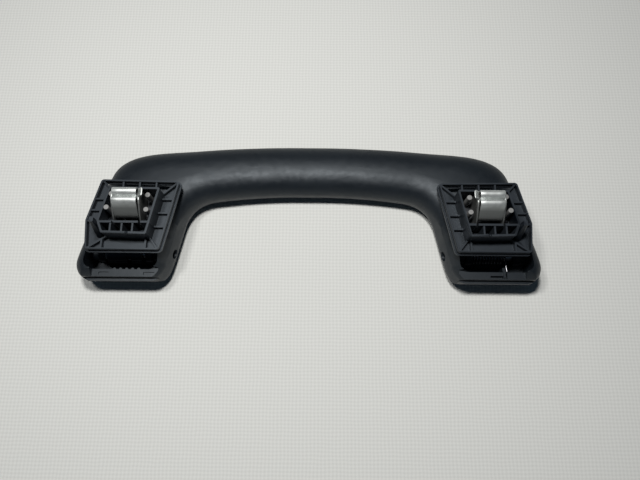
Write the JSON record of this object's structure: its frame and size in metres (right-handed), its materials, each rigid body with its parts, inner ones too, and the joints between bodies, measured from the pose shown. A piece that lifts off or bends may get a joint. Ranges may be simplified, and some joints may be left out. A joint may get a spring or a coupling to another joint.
{
  "type": "roof grab handle",
  "caption": "Fold-down roof grab handle for a vehicle cabin: moulded grip between two pocketed legs, each with a hinged mounting bracket and a steel snap clip.",
  "frame": {"origin": "On the surface the handle lies on with its front face down, under the middle of its length and width.", "axes": "+X along the handle to its right leg as seen from the back, +Y across it towards the grip, +Z out of its back towards the roof."},
  "size_m": [0.2512, 0.0808, 0.0492],
  "materials": {
    "grip_moulding": "black moulded plastic with a fine satin grain",
    "bracket_moulding": "black glass-filled moulded plastic, slightly dusty",
    "spring_steel": "bright rolled spring steel strip",
    "rivet": "light grey moulded post",
    "pin_steel": "drawn steel",
    "damper_moulding": "dark smooth moulded plastic",
    "rotor_moulding": "natural acetal",
    "seal_rubber": "black rubber ring",
    "spring_wire": "bright spring wire"
  },
  "bodies": {
    "handle": {"handle_body": "grip_moulding", "left_hinge_pin": "pin_steel", "right_hinge_pin": "pin_steel", "left_damper_housing": "damper_moulding", "left_damper_cap": "damper_moulding", "left_damper_seal": "seal_rubber", "right_return_spring": "spring_wire"},
    "left_mount": {"left_bracket": "bracket_moulding", "left_clip": "spring_steel", "left_clip_rivets": "rivet", "left_damper_rotor": "rotor_moulding"},
    "right_mount": {"right_bracket": "bracket_moulding", "right_clip": "spring_steel", "right_clip_rivets": "rivet"}
  },
  "joints": [
    {"name": "left_fold", "type": "hinge", "parent": "handle", "child": "left_mount", "pos_m": [-0.101, -0.02395, 0.011], "axis": [1, 0, 0], "range_deg": [0, 90]},
    {"name": "right_fold", "type": "hinge", "parent": "handle", "child": "right_mount", "pos_m": [0.101, -0.02395, 0.011], "axis": [1, 0, 0], "range_deg": [0, 90], "stiffness_Nm_per_rad": 0.06, "springref_deg": -45.84, "deforming": ["right_return_spring"]}
  ]
}
